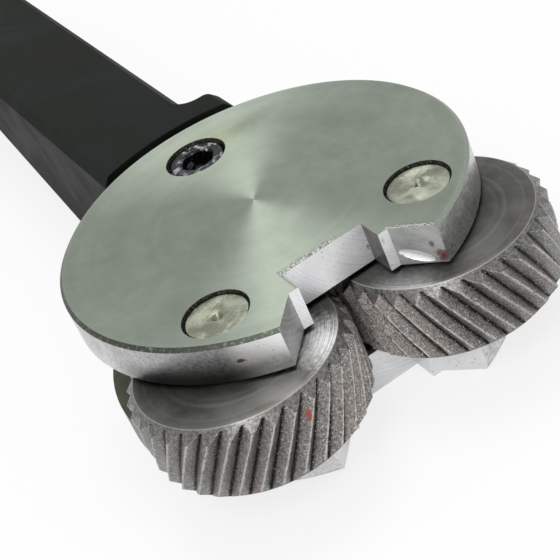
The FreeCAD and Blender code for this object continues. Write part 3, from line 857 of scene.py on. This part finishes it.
def knurling_wheel(node, hand, tree, tooth_finish, face_finish, seed):
    """One wheel; hand is +1 for a right-hand helix and -1 for a left-hand one."""
    section = bpy.data.meshes.new(f"{node}_section")
    points = [(radius, 0, height) for radius, height in wheel_section()]
    section.from_pydata(points, [(at, at + 1) for at in range(len(points) - 1)], [])
    holder = bpy.data.objects.new(f"{node}_holder", section)
    bpy.context.scene.collection.objects.link(holder)
    modifier = holder.modifiers.new("teeth", "NODES")
    modifier.node_group = tree
    axis = JOINT_PLACE[node]
    set_inputs(modifier, {
        "Teeth": TOOTH_COUNT, "Steps per tooth": STEPS_PER_TOOTH, "Crest radius": WHEEL_RADIUS,
        "Tooth depth": TOOTH_DEPTH, "Twist per metre": hand * math.tan(HELIX) / WHEEL_RADIUS,
        "Wear": TOOTH_WEAR, "Face radius": WHEEL_FACE_RADIUS + 0.005 * MM, "Seed": seed,
        "Centre": (axis.x, axis.y, WHEEL_LOW.z),
        "Tooth finish": tooth_finish, "Face finish": face_finish})
    mesh = evaluated_mesh(holder, f"{node}_finished")
    shade(mesh, 30)
    return add_piece(f"{node}_steel", mesh, node, node)


# ---------------------------------------------------------------- the tool
PIN_STEEL = pin_steel()
# Painted shade for the pins' chamfers and sides and for the bore walls in the plates.
PAINTED_GAP_SHADE = painted_gap_shade()
CUTTER_PATH = (22 * MM, 8 * MM, HEAD_TOP + 5 * MM)
# Near white, painted as light on the milled walls that face it.
PAINTED_LIT_WHITE = (0.97, 0.97, 0.98)
BOTTOM_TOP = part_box("bottom_plate")[1].z

chamfer_finish = chamfer_steel()
# Lit copy of the milled finish: painted light on the back walls of the top plate and on every wall of the
# bottom plate.
painted_lit_wall = milled_steel("milled_painted_lit", PAINTED_LIT_WHITE, (0.80, 0.81, 0.83), CUTTER_PATH, (
    ((13.9, 4.15, 15.0), 0.5, (0.7, 0.7, 1.0)), ((11.6, 3.8, 13.4), 0.4, (1.0, 0.5, 1.3))))
# Mid-grey copy of the milled finish: painted half shade on the slanted facets.
painted_half_shade_facet = milled_steel("milled_facet_painted_half_shade", (0.56, 0.57, 0.56), (0.27, 0.28, 0.27), CUTTER_PATH, (
    ((16.6, 7.05, 13.9), 0.42, (0.8, 0.8, 1.1)), ((17.05, 7.4, 12.9), 0.75, (1.0, 1.0, 0.9)),
    ((17.1, 7.45, 12.5), 0.7, (1.0, 1.0, 0.9))), roughness=0.34)
# Dark copy of the milled finish: painted shade on the side walls that face sideways, with red stains.
side_wall = milled_steel("milled_side_painted_shade", (0.22, 0.22, 0.215), (0.07, 0.07, 0.07), CUTTER_PATH, (
    ((12.2, 3.95, 15.0), 0.6, (1.0, 0.5, 1.5)), ((13.2, 3.95, 14.0), 0.4, (1.0, 0.6, 1.0))))
# The gouge is cut into the shape; its near-white colour is a painted highlight.
painted_gouge_highlight = milled_steel("gouged_painted_highlight", (0.98, 0.98, 0.98), (0.92, 0.92, 0.93), CUTTER_PATH,
                            roughness=0.2)
# In both plates the bore walls round the pins and the screw take the painted gap shade.
plate("top_plate", [
    faced_steel("faced_steel", light=(0.275, 0.31, 0.262), dark=(0.196, 0.224, 0.184), height=HEAD_TOP),
    rim_steel("turned_rim_steel", shade_from=3 * MM, shade_to=9.5 * MM),
    chamfer_finish, painted_lit_wall, painted_half_shade_facet, side_wall, PAINTED_GAP_SHADE, painted_gouge_highlight], [gouge_cutter()])
# The bottom plate takes darker copies of the faced and rim finishes as painted shade under the head, and
# the lit copy of the milled finish on all its walls.
plate("bottom_plate", [
    faced_steel("painted_shade_faced_steel", light=(0.115, 0.12, 0.085), dark=(0.06, 0.065, 0.04),
                height=BOTTOM_TOP),
    rim_steel("painted_shade_rim_steel", shade_from=12 * MM, shade_to=4 * MM),
    chamfer_finish, painted_lit_wall, painted_lit_wall, painted_lit_wall, PAINTED_GAP_SHADE, painted_gouge_highlight])
axle_pin("left_axle_pin", dented=False)
axle_pin("right_axle_pin", dented=True)
pivot_screw()

left_axis, right_axis = JOINT_PLACE["left_wheel"], JOINT_PLACE["right_wheel"]
BRIGHT_RED = (0.40, 0.075, 0.04)
wheel_tree = make_toothed_wheel()
left_teeth = tooth_steel("left_wheel", left_axis, brown_flank=1.0, red_marks=[
    ((20.5 * MM, -9.2 * MM, 9.6 * MM), 0.36 * MM, (1, 0.8, 2.6), BRIGHT_RED),
    ((19.9 * MM, -6.3 * MM, 9.4 * MM), 0.4 * MM, (1, 1, 1.4), BRIGHT_RED)])
# shine sets the painted highlight on each wheel's top face, at the place given after it: strong on the left
# wheel, faint on the right.
left_faces = wheel_face_steel("left_wheel", left_axis, shine=0.92,
                              highlight_at=(16.4 * MM, -4.4 * MM, WHEEL_HIGH.z))
knurling_wheel("left_wheel", 1, wheel_tree, left_teeth, left_faces, seed=1.7)
right_teeth = tooth_steel("right_wheel", right_axis, brown_flank=0.0, red_marks=[
    ((19.9 * MM, 13.9 * MM, 6.3 * MM), 0.3 * MM, (1, 1, 1.5), BRIGHT_RED)])
right_faces = wheel_face_steel("right_wheel", right_axis, shine=0.33,
                               highlight_at=(16.4 * MM, 3.0 * MM, WHEEL_HIGH.z))
knurling_wheel("right_wheel", -1, wheel_tree, right_teeth, right_faces, seed=4.2)

body_mesh = soft_edged_copy("tool_body", BODY_EDGE, 3)
body_mesh.materials.append(blackened_steel())
add_piece("tool_body_steel", body_mesh, "shank", "tool_body")


# ---------------------------------------------------------------- studio
def seen_rays(tree):
    """1 on rays that see a surface straight, in a reflection or through glass; 0 on the others."""
    path = tree.nodes.new("ShaderNodeLightPath").outputs
    seen = calc(tree, "MAXIMUM", path["Is Camera Ray"], path["Is Glossy Ray"])
    return calc(tree, "MAXIMUM", seen, path["Is Transmission Ray"])


def white_world():
    """White to the eye and in reflections, dimmer as a light on matt surfaces."""
    world = bpy.data.worlds.new("studio")
    world.use_nodes = True
    tree = world.node_tree
    tree.nodes.clear()
    strength = ramp(tree, seen_rays(tree), 0, 1, 0.55, 1.0, smooth=False)
    light = put(tree, "ShaderNodeBackground", {"Color": (1, 1, 1, 1), "Strength": strength})
    out = tree.nodes.new("ShaderNodeOutputWorld")
    tree.links.new(light.outputs[0], out.inputs["Surface"])
    bpy.context.scene.world = world


def pale_floor():
    """Plain pale floor that keeps the tool's soft shadow."""
    mesh = bpy.data.meshes.new("floor")
    half = FLOOR_HALF_SIZE
    mesh.from_pydata([(-half, -half, 0), (half, -half, 0), (half, half, 0), (-half, half, 0)],
                     [], [(0, 1, 2, 3)])
    floor = bpy.data.objects.new("floor", mesh)
    floor.location.z = -FLOOR_DROP
    bpy.context.scene.collection.objects.link(floor)
    material = bpy.data.materials.new("pale_floor")
    material.use_nodes = True
    tree = material.node_tree
    shader = tree.nodes["Principled BSDF"]
    shader.inputs["Base Color"].default_value = (0.92, 0.92, 0.92, 1)
    shader.inputs["Roughness"].default_value = 0.9
    shader.inputs["Specular IOR Level"].default_value = 0.1
    seen = seen_rays(tree)
    white = put(tree, "ShaderNodeEmission", {"Color": (1, 1, 1, 1), "Strength": 1.0})
    share = calc(tree, "MULTIPLY", seen, 0.8)
    mixed = put(tree, "ShaderNodeMixShader", {0: share, 1: shader.outputs[0], 2: white.outputs[0]})
    tree.links.new(mixed.outputs[0], tree.nodes["Material Output"].inputs["Surface"])
    floor.data.materials.append(material)


def soft_light(name, place, size, power):
    """Square soft light aimed at the head."""
    lamp = bpy.data.lights.new(name, "AREA")
    lamp.size = size
    lamp.energy = power
    light = bpy.data.objects.new(name, lamp)
    light.location = place
    aim = Vector((0, 0, HEAD_TOP)) - Vector(place)
    light.rotation_euler = aim.to_track_quat("-Z", "Y").to_euler()
    bpy.context.scene.collection.objects.link(light)


def camera(azimuth, elevation, roll, distance, right_shift, up_shift, lens):
    """Camera turned about the centre of the head's top face; distances in head radii."""
    turn, tilt, lean = map(math.radians, (azimuth, elevation, roll))
    back = Vector((math.cos(tilt) * math.cos(turn), math.cos(tilt) * math.sin(turn), math.sin(tilt)))
    level = Vector((-math.sin(turn), math.cos(turn), 0))
    right = math.cos(lean) * level + math.sin(lean) * back.cross(level)
    up = back.cross(right)
    place = (back * distance + right * right_shift + up * up_shift) * HEAD_RADIUS
    place.z += HEAD_TOP
    data = bpy.data.cameras.new("camera")
    data.lens = lens
    data.clip_start = 0.005
    eye = bpy.data.objects.new("camera", data)
    eye.matrix_world = Matrix.Translation(place) @ Matrix((right, up, back)).transposed().to_4x4()
    bpy.context.scene.collection.objects.link(eye)
    bpy.context.scene.camera = eye


white_world()
pale_floor()
soft_light("overhead", place=(-0.17, 0.08, 0.46), size=0.20, power=0.75)
soft_light("key", place=(0.22, -0.16, 0.36), size=0.18, power=0.65)
camera(azimuth=-15.764, elevation=33.656, roll=-24.379, distance=7.1777,
       right_shift=0.1018, up_shift=-0.3570, lens=100.34)
bpy.context.scene.view_settings.view_transform = "Standard"
